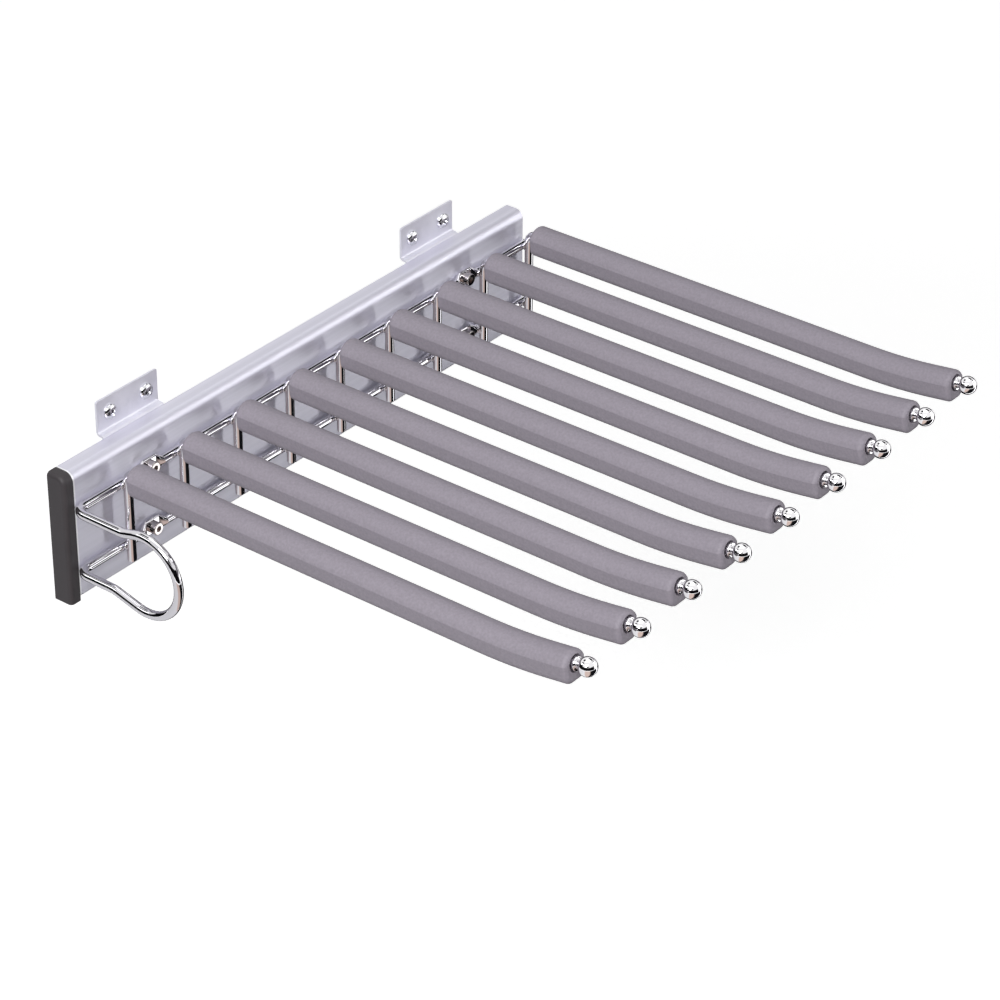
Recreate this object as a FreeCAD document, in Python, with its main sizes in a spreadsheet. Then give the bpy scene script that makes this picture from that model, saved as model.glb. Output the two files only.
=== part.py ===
import FreeCAD, Part
import Sketcher
import math
import operator
import os

# Side-mounted pull-out trouser rack: a ball-bearing slide under an aluminium cover carries a
# chromed wire frame with its loop handle, and nine sleeved arms with ball tips.
#
# Frame, in millimetres: the wall is the plane X = 0, +X points from the wall along the arms,
# +Y into the wardrobe and +Z up. The origin is midway between the front bracket's two screws.

V = FreeCAD.Vector
doc = FreeCAD.newDocument("pull_out_trouser_rack")

SIZES = [
    # cover extrusion
    ("cover_front_y", -70, "front end of the cover"),
    ("cover_length", 442, "length of the cover along Y"),
    ("cover_bottom_z", -100, "lower edge of the cover"),
    ("cover_height", 88, "height of the cover"),
    ("cover_back_x", 7, "back edge of the cover's flanges"),
    ("cover_depth", 14, "depth of the cover from its back edge to its face"),
    ("cover_wall", 1.5, "wall of the extrusion"),
    ("cover_top_radius", 6, "rounded edge between top and face"),
    ("cover_foot_radius", 1.5, "rounded edge between face and underside"),
    ("cover_inner_radius", 0.4, "rounded edges of the ribs and corners inside"),
    ("rib_height", 10, "height of the two ribs that take the frame screws"),
    ("rib_depth", 2.5, "thickness that each rib adds to the wall"),
    ("pad_height", 23, "height of the middle rib that the slide is screwed to"),
    # end cap
    ("cap_length", 8, "length of the end cap along Y"),
    ("cap_proud", 0.3, "how far the cap stands proud of the cover"),
    ("cap_drop", 3, "how far the cap hangs below the cover"),
    ("cap_round", 3, "rounding of the cap's front edges at its top and open side"),
    ("cap_edge", 0.8, "rounding of the cap's other front edges"),
    ("plug_length", 7, "length of the cap's plugs inside the cover"),
    ("plug_height", 13, "height of the upper plug"),
    ("plug_edge", 0.6, "rounding of the plugs"),
    ("fit_gap", 0.15, "clearance of the plugs in the cover"),
    # frame wire
    ("wire_r", 3, "radius of the frame wire and of the rods"),
    ("upper_wire_z", -35.5, "axis of the frame wire's upper run"),
    ("lower_wire_z", -79.5, "axis of its lower run"),
    ("wire_tail", 3, "wire left past the last rod's axis"),
    ("eye_thick", 2.6, "thickness of the flattened eyes"),
    ("eye_height", 11.5, "height of the flattened eyes"),
    ("eye_flat", 11, "length of the flat part of an eye"),
    ("eye_taper", 5, "length over which the wire flattens"),
    ("eye_play", 0.1, "clearance of the frame screws in the eyes"),
    ("front_screw_lag", 26, "front pair of frame screws from the first arm"),
    ("rear_screw_lead", 12, "rear pair of frame screws from the last arm but one"),
    # loop handle, bent from the frame wire
    ("loop_ahead", 2.8, "how far the loop's plane is in front of the cover's end"),
    ("corner_r", 8, "bend radius where the two runs turn into the loop"),
    ("loop_reach", 83.3, "reach of the loop's axis from the two runs"),
    ("loop_rise", 3.5, "how far the big bend's crest is above the upper run"),
    ("loop_fall", 6.2, "how far the big bend's lowest point is below the lower run"),
    ("limb_slope", 15, "slope of the limbs where they spread into the big bend, in degrees"),
    ("limb_r", 20, "radius of the bends where the limbs leave the level"),
    # arms
    ("arm_count", 9, "number of arms"),
    ("arm_pitch", 50, "spacing of the arms"),
    ("first_arm", 38, "first arm's distance from the cover's front end"),
    ("arm_z", -25.5, "axis of the arms"),
    ("elbow_r", 6, "bend radius of the rods"),
    ("leg_below", 9.5, "length of a rod below the lower run's axis"),
    ("leg_round", 1, "rounding of the rod's lower end"),
    ("weld_depth", 0.3, "depth of the welds between rods and frame wire"),
    ("rod_end_x", 369.5, "end of the rod, where the ball tip seats"),
    ("tip_slope", 8, "slope of the arms' upturned ends, in degrees"),
    ("upturn_r", 350, "bend radius where an arm turns up"),
    ("tip_straight", 15, "straight part of a rod's upturned end"),
    ("spigot_r", 2, "radius of the rod's threaded end"),
    ("spigot_length", 6.5, "length of the threaded end"),
    # sleeves
    ("sleeve_start_x", 36, "end of the sleeve near the cover"),
    ("sleeve_over", 1, "how far the sleeve covers the ball tip's collar"),
    ("dome_r", 10.5, "radius of the sleeve's domed top"),
    ("dome_rise", 8.1, "top of the dome above the arm's axis"),
    ("dome_edge", 20, "angle above level where the dome meets the side"),
    ("sleeve_drop", 11.9, "underside of the sleeve below the arm's axis"),
    ("sleeve_foot", 16.8, "width of the sleeve's underside before rounding"),
    ("foot_round", 6, "rounding of the sleeve's lower edges"),
    ("sleeve_edge", 3, "rounding of the sleeve's ends"),
    ("recess_r", 5.6, "radius of the recess in the sleeve's tip"),
    ("recess_depth", 3, "depth of that recess"),
    # ball tips
    ("ball_r", 6, "radius of the ball"),
    ("ball_ahead", 9.5, "ball's centre from the end of the rod"),
    ("collar_r", 4.5, "radius of the collar"),
    ("collar_length", 3, "length of the collar"),
    ("collar_edge", 0.7, "rounding of the collar"),
    ("neck_r", 3.2, "radius between collar and ball"),
    ("tip_bore", 7, "depth of the tip's threaded bore"),
    # wall brackets
    ("bracket_sheet", 1.5, "sheet thickness of the brackets"),
    ("bracket_width", 54, "width of a bracket along Y"),
    ("bracket_top_z", 11, "upper edge of the brackets"),
    ("bracket_spacing", 292, "distance between the brackets"),
    ("bracket_corner", 1.5, "rounding of the brackets' upper corners"),
    ("bracket_foot", 8, "length of a bracket below the slide's axis"),
    ("flange_rise", 0.5, "height of a bracket's flange above the cover"),
    ("cover_gap", 0.5, "gap between the brackets and the cover's back edges"),
    ("wall_bend", 2.25, "bend radius at the wall, on the sheet's middle"),
    ("step_bend", 1.5, "bend radius above the slide, on the sheet's middle"),
    ("screw_spacing", 32, "distance between a bracket's two screws"),
    ("rivet_spacing", 32, "distance between a bracket's two rivets"),
    # slide
    ("slide_z", -57.5, "axis of the slide"),
    ("slide_front", 12, "slide's distance from the cover's front end"),
    ("slide_length", 425, "length of the outer member"),
    ("slide_height", 45, "height of the outer member"),
    ("slide_depth", 11.5, "depth of the closed slide"),
    ("member_sheet", 1.2, "sheet thickness of the members"),
    ("member_gap", 0.5, "gap between the outer and middle webs"),
    ("outer_ball_u", 4.4, "outer balls' axis from the slide's back"),
    ("fold_r", 1.2, "tight folds of the members, on the sheet's middle"),
    ("lip_wrap", 92, "how far the outer member wraps its balls, in degrees"),
    ("middle_wrap", 60, "how far the middle member wraps the inner balls"),
    ("inner_wrap", 62, "how far the inner member wraps the inner balls"),
    ("travel", 400, "full extension of the slide"),
    ("bearing_r", 2, "radius of the bearing balls"),
    ("race_gap", 0.3, "clearance between balls and races"),
    ("cage_thick", 0.8, "thickness of the ball cages"),
    ("cage_wall", 0.55, "narrowest wall of an inner cage beside its balls"),
    ("cage_edge", 0.6, "rounding of the cages' corners"),
    ("cage_play", 0.05, "clearance of the balls in their cages"),
    ("cage_length", 200, "length of the ball cages"),
    ("cage_margin", 4, "cages' distance from the front end of their travel"),
    ("balls_per_row", 6, "bearing balls in a row"),
    ("tail_room", 5, "room behind the middle and inner members when closed"),
    ("stop_height", 22, "height of the outer member's stop tab"),
    ("stop_reach", 9, "reach of the stop tab from the slide's back"),
    ("tab_height", 14, "height of the inner member's rear tab"),
    ("tab_round", 1, "rounded corners of the tabs"),
    ("bumper_thick", 3.5, "thickness of the rubber bumper"),
    ("bumper_inset", 1, "bumper's edge inside the rear tab's edge"),
    # fasteners
    ("wall_screw_r", 2, "radius of the wall screws"),
    ("wall_screw_length", 8.5, "length of the wall screws behind the brackets"),
    ("screw_neck_r", 2.2, "radius of the smooth neck under the wall screws' heads"),
    ("neck_behind", 0.6, "how far that neck reaches behind a bracket"),
    ("screw_point", 3, "length of the wall screws' points"),
    ("pan_r", 4, "radius of the wall screws' heads"),
    ("pan_height", 2.8, "height of those heads"),
    ("cross_width", 0.9, "width of the cross recess's arms"),
    ("cross_length", 4.2, "length of the cross recess's arms"),
    ("cross_depth", 1.4, "depth of the cross recess"),
    ("frame_screw_r", 2.5, "radius of the frame screws"),
    ("cap_head_r", 4.25, "radius of the frame screws' heads"),
    ("cap_head_height", 5, "height of those heads"),
    ("head_edge", 0.6, "rounding of those heads"),
    ("hex_width", 4, "width across flats of their sockets"),
    ("hex_depth", 2.5, "depth of their sockets"),
    ("slide_screw_r", 2, "radius of the screws that hold the slide"),
    ("slide_screw_inset", 36, "end screws' distance from the slide's ends"),
    ("slide_head_r", 3.7, "radius of those screws' heads"),
    ("slide_head_height", 2.2, "height of those heads"),
    ("slide_bite", 2.2, "how deep those screws go into the cover"),
    ("rivet_r", 2.4, "radius of the rivets"),
    ("rivet_head_r", 4, "radius of the rivets' heads"),
    ("rivet_head", 1.1, "height of the rivets' heads"),
]

sheet = doc.addObject("Spreadsheet::Sheet", "sizes")
for row, (alias, number, meaning) in enumerate(SIZES, start=1):
    sheet.set(f"A{row}", alias)
    sheet.set(f"B{row}", str(number))
    sheet.set(f"C{row}", meaning)
    sheet.setAlias(f"B{row}", alias)
doc.recompute()


# ---------------------------------------------------------------- sizes with their formulas

class Value:
    """A number together with the formula on the sheet's cells that gives it."""

    def __init__(self, number, formula):
        self.number = number
        self.formula = formula

    def __float__(self):
        return self.number

    def __int__(self):
        return int(self.number)

    def __neg__(self):
        return joined(0, self, operator.sub, "-")

    def __add__(self, other):
        return joined(self, other, operator.add, "+")

    def __radd__(self, other):
        return joined(other, self, operator.add, "+")

    def __sub__(self, other):
        return joined(self, other, operator.sub, "-")

    def __rsub__(self, other):
        return joined(other, self, operator.sub, "-")

    def __mul__(self, other):
        return joined(self, other, operator.mul, "*")

    def __rmul__(self, other):
        return joined(other, self, operator.mul, "*")

    def __truediv__(self, other):
        return joined(self, other, operator.truediv, "/")


def formula_of(value):
    return value.formula if isinstance(value, Value) else f"({value!r})"


def joined(left, right, work, sign):
    number = work(float(left), float(right))
    return Value(number, f"({formula_of(left)} {sign} {formula_of(right)})")


def cosine(angle):
    return Value(math.cos(math.radians(float(angle))), f"cos({formula_of(angle)})")


def sine(angle):
    return Value(math.sin(math.radians(float(angle))), f"sin({formula_of(angle)})")


class Sizes:
    """Reads a cell by its alias: size.wire_r."""

    def __getattr__(self, alias):
        return Value(float(sheet.get(alias)), f"sizes.{alias}")


size = Sizes()


def bind(thing, path, value):
    """Sets a property, by formula where the value has one."""
    if isinstance(value, Value):
        thing.setExpression(path, value.formula)
    else:
        thing.setExpression(path, repr(float(value)))


# ---------------------------------------------------------------- bodies and sketches

def new_body(label, x=0, y=0, z=0, slope=None):
    """A body at (x, y, z), where a slope turns its X axis up."""
    body = doc.addObject("PartDesign::Body", label)
    body.Label = label
    for axis, value in (("x", x), ("y", y), ("z", z)):
        bind(body, f"Placement.Base.{axis}", value)
    if slope is not None:
        body.Placement = FreeCAD.Placement(V(), FreeCAD.Rotation(V(0, -1, 0), float(slope)))
        bind(body, "Placement.Rotation.Angle", slope)
    return body


def sketch_on(body, role, name, x=0, y=0, along=0, slope=None):
    """A sketch on one of the body's origin planes, shifted in the plane and along its normal.

    A slope turns the normal towards the plane's second axis.
    """
    sketch = body.newObject("Sketcher::SketchObject", f"{body.Name}_{name}")
    plane = [item for item in body.Origin.OriginFeatures if item.Role == role][0]
    sketch.AttachmentSupport = [(plane, "")]
    sketch.MapMode = "FlatFace"
    for axis, value in (("x", x), ("y", y), ("z", along)):
        bind(sketch, f"AttachmentOffset.Base.{axis}", value)
    if slope is not None:
        turned_up = FreeCAD.Rotation(V(-1, 0, 0), float(slope))
        sketch.AttachmentOffset = FreeCAD.Placement(V(), turned_up)
        bind(sketch, "AttachmentOffset.Rotation.Angle", slope)
    return sketch


def constrain(sketch, kind, *parts, value=None):
    """Adds a constraint, bound to the sheet where it has a value."""
    if value is None:
        sketch.addConstraint(Sketcher.Constraint(kind, *parts))
        return
    index = sketch.addConstraint(Sketcher.Constraint(kind, *parts, float(value)))
    if isinstance(value, Value):
        sketch.setExpression(f"Constraints[{index}]", value.formula)


def fix_point(sketch, item, end, x, y):
    """Holds one point of an item at (x, y)."""
    for kind, axis, value in (("DistanceX", -2, x), ("DistanceY", -1, y)):
        if not isinstance(value, Value) and value == 0:
            constrain(sketch, "PointOnObject", item, end, axis)
        else:
            constrain(sketch, kind, -1, 1, item, end, value=value)


def circle(sketch, x, y, radius):
    """A circle held by its centre and radius."""
    index = sketch.addGeometry(Part.Circle(V(float(x), float(y), 0), V(0, 0, 1), float(radius)),
                               False)
    fix_point(sketch, index, 3, x, y)
    constrain(sketch, "Radius", index, value=radius)


def arc_between(start, stop, centre, left_turn):
    """An arc, with the numbers of its first and last end as a sketch counts them."""
    spoke = start - centre
    first = math.atan2(spoke.y, spoke.x)
    spoke = stop - centre
    last = math.atan2(spoke.y, spoke.x)
    if not left_turn:
        first, last = last, first
    while last <= first:
        last += 2 * math.pi
    curve = Part.ArcOfCircle(Part.Circle(centre, V(0, 0, 1), (start - centre).Length),
                             first, last)
    return curve, (1, 2) if left_turn else (2, 1)


def outline(sketch, corners, closed=True):
    """Lines through corners (x, y) or (x, y, radius), fully constrained."""
    corners = [corner if len(corner) == 3 else (*corner, 0) for corner in corners]
    points = [V(float(x), float(y), 0) for x, y, _ in corners]
    count = len(points)
    bends = [bend_at(points, index, float(corners[index][2])) for index in range(count)]
    lines = []
    for index in range(count if closed else count - 1):
        start, stop = bends[index][1], bends[(index + 1) % count][0]
        lines.append(sketch.addGeometry(Part.LineSegment(start, stop), False))
    for index, (x, y, radius) in enumerate(corners):
        before = lines[index - 1] if closed or index > 0 else None
        after = lines[index] if index < len(lines) else None
        if before is None:
            fix_point(sketch, after, 1, x, y)
        elif after is None:
            fix_point(sketch, before, 2, x, y)
        elif float(radius) == 0:
            constrain(sketch, "Coincident", before, 2, after, 1)
            fix_point(sketch, after, 1, x, y)
        else:
            round_corner(sketch, before, after, bends[index], (x, y, radius), points[index])


def bend_at(points, index, radius):
    """Where a rounded corner starts and ends, its centre and whether it turns left."""
    here = points[index]
    if radius == 0:
        return here, here, None, None
    back = (points[index - 1] - here).normalize()
    ahead = (points[(index + 1) % len(points)] - here).normalize()
    half = back.getAngle(ahead) / 2
    reach = radius / math.tan(half)
    centre = here + (back + ahead).normalize() * (radius / math.sin(half))
    return here + back * reach, here + ahead * reach, centre, back.cross(ahead).z < 0


def round_corner(sketch, before, after, bend, corner, point):
    """Joins two lines by a tangent arc; their corner stays as a construction point."""
    start, stop, centre, left_turn = bend
    curve, (first, last) = arc_between(start, stop, centre, left_turn)
    arc = sketch.addGeometry(curve, False)
    mark = sketch.addGeometry(Part.Point(point), True)
    x, y, radius = corner
    fix_point(sketch, mark, 1, x, y)
    constrain(sketch, "PointOnObject", mark, 1, before)
    constrain(sketch, "PointOnObject", mark, 1, after)
    constrain(sketch, "Tangent", before, 2, arc, first)
    constrain(sketch, "Tangent", arc, last, after, 1)
    constrain(sketch, "Radius", arc, value=radius)


# ---------------------------------------------------------------- features

def pad(body, sketch, length, name, reverse=False):
    feature = body.newObject("PartDesign::Pad", f"{body.Name}_{name}")
    feature.Profile = sketch
    bind(feature, "Length", length)
    feature.Reversed = reverse
    return feature


def pocket(body, sketch, name, depth=None, reverse=False):
    """A pocket to a depth, or through everything on both sides."""
    feature = body.newObject("PartDesign::Pocket", f"{body.Name}_{name}")
    feature.Profile = sketch
    if depth is None:
        feature.Type = "ThroughAll"
        feature.Midplane = True
    else:
        bind(feature, "Length", depth)
        feature.Reversed = reverse
    return feature


def revolve(body, sketch, axis, name, degrees=360, reverse=False):
    feature = body.newObject("PartDesign::Revolution", f"{body.Name}_{name}")
    feature.Profile = sketch
    feature.ReferenceAxis = (sketch, [axis])
    feature.Angle = degrees
    feature.Reversed = reverse
    return feature


def pipe(body, profile, spine, name):
    feature = body.newObject("PartDesign::AdditivePipe", f"{body.Name}_{name}")
    feature.Profile = profile
    feature.Spine = (spine, [])
    return feature


def round_edges(body, feature, radius, name, test):
    """Fillets the edges whose middle passes the test."""
    doc.recompute()
    names = []
    for number, edge in enumerate(feature.Shape.Edges, start=1):
        middle = edge.valueAt((edge.FirstParameter + edge.LastParameter) / 2)
        if test(edge, middle):
            names.append(f"Edge{number}")
    fillet = body.newObject("PartDesign::Fillet", f"{body.Name}_{name}")
    fillet.Base = (feature, names)
    bind(fillet, "Radius", radius)
    return fillet


def group(label, master, places):
    """One node of identical pieces: links to a master at each place (x, y, z)."""
    copies = []
    for index, place in enumerate(places, start=1):
        copy = doc.addObject("App::Link", f"{label}_{index}")
        copy.LinkedObject = master
        for axis, value in zip("xyz", place):
            bind(copy, f"Placement.Base.{axis}", value)
        copies.append(copy)
    compound = doc.addObject("Part::Compound", label)
    compound.Label = label
    compound.Links = copies
    return compound


# ---------------------------------------------------------------- places that pieces share

face_x = size.cover_back_x + size.cover_depth
cover_top_z = size.cover_bottom_z + size.cover_height
slide_back_x = size.cover_back_x - size.cover_gap
slide_start_y = size.cover_front_y + size.slide_front
inner_length = size.slide_length - size.tail_room


def arm_offset(number):
    """Distance of an arm, counted from 0, from the cover's front end."""
    return size.first_arm + number * size.arm_pitch


def frame_screw_offsets():
    """Distances of the frame screws from the cover's front end."""
    rear_arm = arm_offset(int(size.arm_count) - 2)
    return [size.first_arm + size.front_screw_lag, rear_arm - size.rear_screw_lead]


def slide_screw_offsets():
    """Distances of the slide's screws from its front end."""
    return [size.slide_screw_inset, inner_length / 2, inner_length - size.slide_screw_inset]


def bracket_places(spacing):
    """Y of the two fasteners on each of the two brackets."""
    places = []
    for bracket in (0, 1):
        for side in (-1, 1):
            places.append(bracket * size.bracket_spacing + side * spacing / 2)
    return places


# ---------------------------------------------------------------- cover extrusion

def make_cover():
    """Aluminium extrusion, open to the wall, with two screw ribs and a thick middle rib."""
    body = new_body("rail_cover", y=size.cover_front_y)
    inner_x = face_x - size.cover_wall
    low, high = size.cover_bottom_z, cover_top_z
    soft = size.cover_inner_radius
    corners = [
        (size.cover_back_x, high), (face_x, high, size.cover_top_radius),
        (face_x, low, size.cover_foot_radius), (size.cover_back_x, low),
        (size.cover_back_x, low + size.cover_wall), (inner_x, low + size.cover_wall, soft)]
    ribs = [
        (size.lower_wire_z, size.rib_height / 2, inner_x - size.rib_depth),
        (size.slide_z, size.pad_height / 2, slide_back_x + size.slide_depth),
        (size.upper_wire_z, size.rib_height / 2, inner_x - size.rib_depth)]
    for middle, half, depth in ribs:
        corners += [(inner_x, middle - half), (depth, middle - half, soft),
                    (depth, middle + half, soft), (inner_x, middle + half)]
    corners += [(inner_x, high - size.cover_wall, size.cover_top_radius - size.cover_wall),
                (size.cover_back_x, high - size.cover_wall)]
    section = sketch_on(body, "XZ_Plane", "section")
    outline(section, corners)
    pad(body, section, size.cover_length, "bar", reverse=True)

    taps = sketch_on(body, "YZ_Plane", "frame_screw_taps", along=size.cover_back_x)
    for along in frame_screw_offsets():
        for level in (size.upper_wire_z, size.lower_wire_z):
            circle(taps, along, level, size.frame_screw_r)
    pocket(body, taps, "frame_screw_holes", size.cover_depth + size.cover_wall, reverse=True)

    seats = sketch_on(body, "YZ_Plane", "slide_screw_taps", along=size.cover_back_x)
    for along in slide_screw_offsets():
        circle(seats, size.slide_front + along, size.slide_z, size.slide_screw_r)
    pocket(body, seats, "slide_screw_holes",
           size.slide_depth + size.slide_bite - size.cover_gap, reverse=True)


# ---------------------------------------------------------------- end cap

def make_end_cap():
    """Moulded cap over the cover's front end, held by two plugs inside it."""
    body = new_body("front_end_cap", y=size.cover_front_y)
    section = sketch_on(body, "XZ_Plane", "section")
    top, side = cover_top_z + size.cap_proud, face_x + size.cap_proud
    low = size.cover_bottom_z - size.cap_drop
    outline(section, [
        (size.cover_back_x, top), (side, top, size.cover_top_radius + size.cap_proud),
        (side, low), (size.cover_back_x, low)])
    block = pad(body, section, size.cap_length, "block")
    front, floor, back = -float(size.cap_length), float(low), float(size.cover_back_x)

    def seen_edge(edge, at):
        return abs(at.y - front) < 0.01 and at.z > floor + 1 and at.x > back + 1

    def other_edge(edge, at):
        return abs(at.y - front) < 0.01

    softened = round_edges(body, block, size.cap_round, "open_side", seen_edge)
    round_edges(body, softened, size.cap_edge, "front_edges",
                lambda edge, at: other_edge(edge, at) and (at.z < floor + 1 or at.x < back + 1))

    gap, wall, soft = size.fit_gap, size.cover_wall, size.plug_edge
    plugs = sketch_on(body, "XZ_Plane", "plugs")
    high, deep = cover_top_z - wall - gap, face_x - wall - gap
    near = size.cover_back_x + wall
    outline(plugs, [
        (near, high, soft), (deep, high, size.cover_top_radius - wall),
        (deep, high - size.plug_height, soft), (near, high - size.plug_height, soft)])
    foot = size.cover_bottom_z + wall + gap
    rise = size.lower_wire_z - size.rib_height / 2 - gap
    outline(plugs, [(near, rise, soft), (deep, rise, soft), (deep, foot, soft),
                    (near, foot, soft)])
    pad(body, plugs, size.plug_length, "plugs_in_cover", reverse=True)


# ---------------------------------------------------------------- frame wire with its handle

def round_section(sketch, level):
    """The wire's circle as four arcs, so that it lofts into a flat."""
    radius = float(size.wire_r)
    for quarter in range(4):
        angles = [math.radians(-45 + 90 * quarter + turn) for turn in (0, 45, 90)]
        points = [V(radius * math.cos(a), level + radius * math.sin(a), 0) for a in angles]
        sketch.addGeometry(Part.Arc(*points), False)


def flat_section(sketch, level):
    """A flattened wire that lies on the cover's face: two flats and two round edges."""
    half = float(size.eye_thick) / 2
    straight = float(size.eye_height) / 2 - half
    middle = half - float(size.wire_r)
    left, right = middle - half, middle + half
    low, high = level - straight, level + straight
    sketch.addGeometry(Part.LineSegment(V(right, low, 0), V(right, high, 0)), False)
    sketch.addGeometry(Part.Arc(V(right, high, 0), V(middle, high + half, 0),
                                V(left, high, 0)), False)
    sketch.addGeometry(Part.LineSegment(V(left, high, 0), V(left, low, 0)), False)
    sketch.addGeometry(Part.Arc(V(left, low, 0), V(middle, low - half, 0),
                                V(right, low, 0)), False)


def add_run(body, name, level):
    """A straight run along the cover, flattened into an eye at each pair of screws."""
    half = size.eye_flat / 2
    stations = [(size.corner_r, False)]
    for along in frame_screw_offsets():
        middle = along + size.loop_ahead
        stations += [(middle - half - size.eye_taper, False), (middle - half, True),
                     (middle + half, True), (middle + half + size.eye_taper, False)]
    last_arm = arm_offset(int(size.arm_count) - 1)
    stations.append((last_arm + size.wire_tail + size.loop_ahead, False))
    sections = []
    for number, (along, flat) in enumerate(stations):
        section = sketch_on(body, "XZ_Plane", f"{name}_section{number}", along=-along)
        if flat:
            flat_section(section, level)
        else:
            round_section(section, level)
        sections.append(section)
    loft = body.newObject("PartDesign::AdditiveLoft", f"{body.Name}_{name}")
    loft.Profile = sections[0]
    loft.Sections = sections[1:]
    loft.Ruled = True


def draw_limb(sketch, level, side, radius, centre):
    """One limb: a level line from the corner, a small bend and a slant that meets the big bend."""
    slope = math.radians(float(size.limb_slope))
    bend = float(size.limb_r)
    across = V(-math.sin(slope), side * math.cos(slope), 0)
    along = V(math.cos(slope), side * math.sin(slope), 0)
    meet = centre + across * float(radius)
    turn = meet - along * ((meet.y - level) / along.y)
    reach = bend * math.tan(slope / 2)
    leave, slant_from = turn - V(reach, 0, 0), turn + along * reach
    hub = leave + V(0, side * bend, 0)
    arc, (near, far) = arc_between(leave, slant_from, hub, side > 0)
    flat = sketch.addGeometry(Part.LineSegment(V(float(size.corner_r), level, 0), leave), False)
    curve = sketch.addGeometry(arc, False)
    slant = sketch.addGeometry(Part.LineSegment(slant_from, meet), False)
    constrain(sketch, "Horizontal", flat)
    constrain(sketch, "Tangent", flat, 2, curve, near)
    constrain(sketch, "Tangent", curve, far, slant, 1)
    constrain(sketch, "Radius", curve, value=size.limb_r)
    constrain(sketch, "DistanceX", -1, 1, slant, 2,
              value=size.loop_reach - radius - radius * sine(size.limb_slope))
    return flat, slant, meet


def draw_loop(sketch, drop):
    """The loop's path: two limbs that spread a little, joined by the big bend."""
    radius = (drop + size.loop_rise + size.loop_fall) / 2
    centre = V(float(size.loop_reach - radius), float(size.loop_rise - radius), 0)
    upper, upper_slant, high = draw_limb(sketch, 0, 1, radius, centre)
    lower, lower_slant, low = draw_limb(sketch, -float(drop), -1, radius, centre)
    arc, (first, last) = arc_between(high, low, centre, False)
    crest = sketch.addGeometry(arc, False)
    constrain(sketch, "Tangent", upper_slant, 2, crest, first)
    constrain(sketch, "Tangent", lower_slant, 2, crest, last)
    constrain(sketch, "Radius", crest, value=radius)
    fix_point(sketch, crest, 3, size.loop_reach - radius, size.loop_rise - radius)
    fix_point(sketch, upper, 1, size.corner_r, 0)
    fix_point(sketch, lower, 1, size.corner_r, -drop)


def make_frame_wire():
    """One bent wire: the upper run, the loop handle at the front and the lower run."""
    body = new_body("frame_wire", face_x + size.wire_r, size.cover_front_y - size.loop_ahead,
                    size.upper_wire_z)
    drop = size.upper_wire_z - size.lower_wire_z
    spine = sketch_on(body, "XZ_Plane", "loop_path")
    draw_loop(spine, drop)
    profile = sketch_on(body, "YZ_Plane", "wire_section", along=size.corner_r)
    circle(profile, 0, 0, size.wire_r)
    pipe(body, profile, spine, "loop_handle")

    corners = sketch_on(body, "YZ_Plane", "corners", x=size.corner_r, along=size.corner_r)
    for level in (0, -drop):
        circle(corners, -size.corner_r, level, size.wire_r)
    revolve(body, corners, "V_Axis", "corner_bends", degrees=90, reverse=True)
    add_run(body, "upper_run", 0)
    add_run(body, "lower_run", -float(drop))

    holes = sketch_on(body, "YZ_Plane", "eye_holes")
    for along in frame_screw_offsets():
        for level in (0, -drop):
            circle(holes, along + size.loop_ahead, level, size.frame_screw_r + size.eye_play)
    pocket(body, holes, "eye_holes_cut")


# ---------------------------------------------------------------- arms

def arm_end(start_x, past=0):
    """Corners of an arm's axis, seen from start_x: its upward bend and its end past the rod."""
    slope = size.tip_slope
    straight = size.upturn_r * sine(slope) / (1 + cosine(slope)) + size.tip_straight
    bend_x = size.rod_end_x - straight * cosine(slope) - start_x
    return [(bend_x, 0, size.upturn_r),
            (bend_x + (straight + past) * cosine(slope), (straight + past) * sine(slope))]


def make_rod(number):
    """Bent rod: a leg welded across the two runs and an arm with an upturned, threaded end."""
    start_x = face_x + 3 * size.wire_r - size.weld_depth
    body = new_body(f"arm_rod_{number + 1}", start_x, size.cover_front_y + arm_offset(number),
                    size.arm_z)
    foot = size.lower_wire_z - size.leg_below - size.arm_z
    bend, (end_x, end_z) = arm_end(start_x)
    spine = sketch_on(body, "XZ_Plane", "path")
    outline(spine, [(0, foot), (0, 0, size.elbow_r), bend, (end_x, end_z)], closed=False)
    profile = sketch_on(body, "XY_Plane", "wire_section", along=foot)
    circle(profile, 0, 0, size.wire_r)
    rod = pipe(body, profile, spine, "bent_rod")
    round_edges(body, rod, size.leg_round, "foot_edge",
                lambda edge, at: abs(at.z - float(foot)) < 0.01)
    end = sketch_on(body, "YZ_Plane", "spigot", y=end_z, along=end_x, slope=size.tip_slope)
    circle(end, 0, 0, size.spigot_r)
    pad(body, end, size.spigot_length, "threaded_end")


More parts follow.
